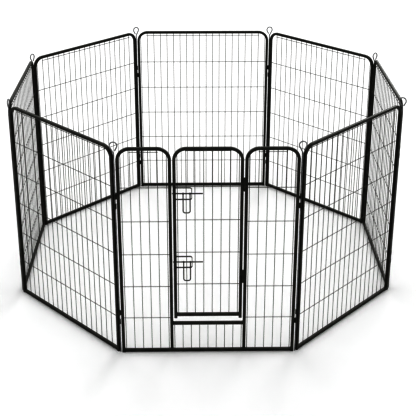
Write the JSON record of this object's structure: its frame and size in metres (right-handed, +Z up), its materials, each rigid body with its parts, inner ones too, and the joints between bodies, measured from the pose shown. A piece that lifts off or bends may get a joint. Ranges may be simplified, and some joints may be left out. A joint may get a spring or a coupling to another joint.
{
  "type": "pet playpen",
  "caption": "Folding octagonal pet playpen of black square tube and wire panels, joined by lift-out corner pins, with a hinged door held by slide bolts.",
  "frame": {"origin": "on the floor, at the middle of the pen's overall box, bolt handles included", "axes": "+Z up, the door panel faces -Y, +X to the right when the door is looked at from outside"},
  "size_m": [1.8974, 2.0262, 1.0265],
  "materials": {
    "black_powder_coat": "semi-gloss powder coat with a fine hammered mottling",
    "zinc_plated_rod": "dull zinc plating",
    "black_plastic": "fine moulded texture"
  },
  "bodies": {
    "front_panel": {"front_left_bay_tube": "black_powder_coat", "front_right_bay_tube": "black_powder_coat", "front_bottom_rail": "black_powder_coat", "front_sill_rail": "black_powder_coat", "front_wire_grid": "black_powder_coat", "front_hinge_loops": "black_powder_coat", "front_foot_plugs": "black_plastic", "front_door_hinge_barrels": "black_powder_coat"},
    "right_front_panel": {"right_front_frame_tube": "black_powder_coat", "right_front_bottom_rail": "black_powder_coat", "right_front_wire_grid": "black_powder_coat", "right_front_hinge_loops": "black_powder_coat", "right_front_foot_plugs": "black_plastic"},
    "right_panel": {"right_frame_tube": "black_powder_coat", "right_bottom_rail": "black_powder_coat", "right_wire_grid": "black_powder_coat", "right_hinge_loops": "black_powder_coat", "right_foot_plugs": "black_plastic"},
    "back_right_panel": {"back_right_frame_tube": "black_powder_coat", "back_right_bottom_rail": "black_powder_coat", "back_right_wire_grid": "black_powder_coat", "back_right_hinge_loops": "black_powder_coat", "back_right_foot_plugs": "black_plastic"},
    "back_panel": {"back_frame_tube": "black_powder_coat", "back_bottom_rail": "black_powder_coat", "back_wire_grid": "black_powder_coat", "back_hinge_loops": "black_powder_coat", "back_foot_plugs": "black_plastic"},
    "back_left_panel": {"back_left_frame_tube": "black_powder_coat", "back_left_bottom_rail": "black_powder_coat", "back_left_wire_grid": "black_powder_coat", "back_left_hinge_loops": "black_powder_coat", "back_left_foot_plugs": "black_plastic"},
    "left_panel": {"left_frame_tube": "black_powder_coat", "left_bottom_rail": "black_powder_coat", "left_wire_grid": "black_powder_coat", "left_hinge_loops": "black_powder_coat", "left_foot_plugs": "black_plastic"},
    "left_front_panel": {"left_front_frame_tube": "black_powder_coat", "left_front_bottom_rail": "black_powder_coat", "left_front_wire_grid": "black_powder_coat", "left_front_hinge_loops": "black_powder_coat", "left_front_foot_plugs": "black_plastic"},
    "door_leaf": {"door_frame_tube": "black_powder_coat", "door_bottom_rail": "black_powder_coat", "door_wire_grid": "black_powder_coat", "door_hinge_barrels": "black_powder_coat", "door_latch_brackets": "black_powder_coat"},
    "upper_bolt_rod": {"upper_bolt": "black_powder_coat"},
    "upper_handle": {"upper_bolt_handle": "black_powder_coat"},
    "lower_bolt_rod": {"lower_bolt": "black_powder_coat"},
    "lower_handle": {"lower_bolt_handle": "black_powder_coat"},
    "front_left_corner_pin": {"front_left_pin": "zinc_plated_rod"},
    "front_right_corner_pin": {"front_right_pin": "zinc_plated_rod"},
    "right_fore_corner_pin": {"right_fore_pin": "zinc_plated_rod"},
    "right_aft_corner_pin": {"right_aft_pin": "zinc_plated_rod"},
    "back_right_corner_pin": {"back_right_pin": "zinc_plated_rod"},
    "back_left_corner_pin": {"back_left_pin": "zinc_plated_rod"},
    "left_aft_corner_pin": {"left_aft_pin": "zinc_plated_rod"},
    "left_fore_corner_pin": {"left_fore_pin": "zinc_plated_rod"}
  },
  "joints": [
    {"name": "right_front_fold", "type": "hinge", "parent": "front_panel", "child": "right_front_panel", "pos_m": [0.4, -0.98445, 0.5], "axis": [0, 0, 1], "range_deg": [-48, 42]},
    {"name": "right_fold", "type": "hinge", "parent": "right_front_panel", "child": "right_panel", "pos_m": [0.9353, -0.38994, 0.5], "axis": [0, 0, 1], "range_deg": [-42, 48]},
    {"name": "back_right_fold", "type": "hinge", "parent": "right_panel", "child": "back_right_panel", "pos_m": [0.9353, 0.41006, 0.5], "axis": [0, 0, 1], "range_deg": [-42, 48]},
    {"name": "left_front_fold", "type": "hinge", "parent": "front_panel", "child": "left_front_panel", "pos_m": [-0.4, -0.98445, 0.5], "axis": [0, 0, 1], "range_deg": [-42, 48]},
    {"name": "left_fold", "type": "hinge", "parent": "left_front_panel", "child": "left_panel", "pos_m": [-0.9353, -0.38994, 0.5], "axis": [0, 0, 1], "range_deg": [-48, 42]},
    {"name": "back_left_fold", "type": "hinge", "parent": "left_panel", "child": "back_left_panel", "pos_m": [-0.9353, 0.41006, 0.5], "axis": [0, 0, 1], "range_deg": [-48, 42]},
    {"name": "back_fold", "type": "hinge", "parent": "back_left_panel", "child": "back_panel", "pos_m": [-0.4, 1.00458, 0.5], "axis": [0, 0, 1], "range_deg": [-42, 48]},
    {"name": "door_swing", "type": "hinge", "parent": "front_panel", "child": "door_leaf", "pos_m": [0.155, -0.99645, 0.6], "axis": [0, 0, 1], "range_deg": [0, 135]},
    {"name": "upper_bolt_slide", "type": "slide", "parent": "door_leaf", "child": "upper_bolt_rod", "axis": [1, 0, 0], "range_m": [-0.019, 0]},
    {"name": "upper_handle_swing", "type": "hinge", "parent": "upper_bolt_rod", "child": "upper_handle", "pos_m": [-0.0928, -0.98715, 0.789], "axis": [-1, 0, 0], "range_deg": [0, 150]},
    {"name": "lower_bolt_slide", "type": "slide", "parent": "door_leaf", "child": "lower_bolt_rod", "axis": [1, 0, 0], "range_m": [-0.019, 0]},
    {"name": "lower_handle_swing", "type": "hinge", "parent": "lower_bolt_rod", "child": "lower_handle", "pos_m": [-0.0928, -0.98715, 0.461], "axis": [-1, 0, 0], "range_deg": [0, 150]},
    {"name": "front_left_pin_lift", "type": "slide", "parent": "front_panel", "child": "front_left_corner_pin", "axis": [0, 0, 1], "range_m": [0, 1.05]},
    {"name": "front_right_pin_lift", "type": "slide", "parent": "front_panel", "child": "front_right_corner_pin", "axis": [0, 0, 1], "range_m": [0, 1.05]},
    {"name": "right_fore_pin_lift", "type": "slide", "parent": "right_front_panel", "child": "right_fore_corner_pin", "axis": [0, 0, 1], "range_m": [0, 1.05]},
    {"name": "right_aft_pin_lift", "type": "slide", "parent": "right_panel", "child": "right_aft_corner_pin", "axis": [0, 0, 1], "range_m": [0, 1.05]},
    {"name": "back_right_pin_lift", "type": "slide", "parent": "back_panel", "child": "back_right_corner_pin", "axis": [0, 0, 1], "range_m": [0, 1.05]},
    {"name": "back_left_pin_lift", "type": "slide", "parent": "back_left_panel", "child": "back_left_corner_pin", "axis": [0, 0, 1], "range_m": [0, 1.05]},
    {"name": "left_aft_pin_lift", "type": "slide", "parent": "left_panel", "child": "left_aft_corner_pin", "axis": [0, 0, 1], "range_m": [0, 1.05]},
    {"name": "left_fore_pin_lift", "type": "slide", "parent": "left_front_panel", "child": "left_fore_corner_pin", "axis": [0, 0, 1], "range_m": [0, 1.05]}
  ],
  "couplings": [
    {"joint": "right_fold", "follows": "right_front_fold", "ratio": -1},
    {"joint": "back_right_fold", "follows": "right_front_fold", "ratio": -1},
    {"joint": "left_front_fold", "follows": "right_front_fold", "ratio": -1},
    {"joint": "left_fold", "follows": "right_front_fold", "ratio": 1},
    {"joint": "back_left_fold", "follows": "right_front_fold", "ratio": 1},
    {"joint": "back_fold", "follows": "right_front_fold", "ratio": -1}
  ]
}
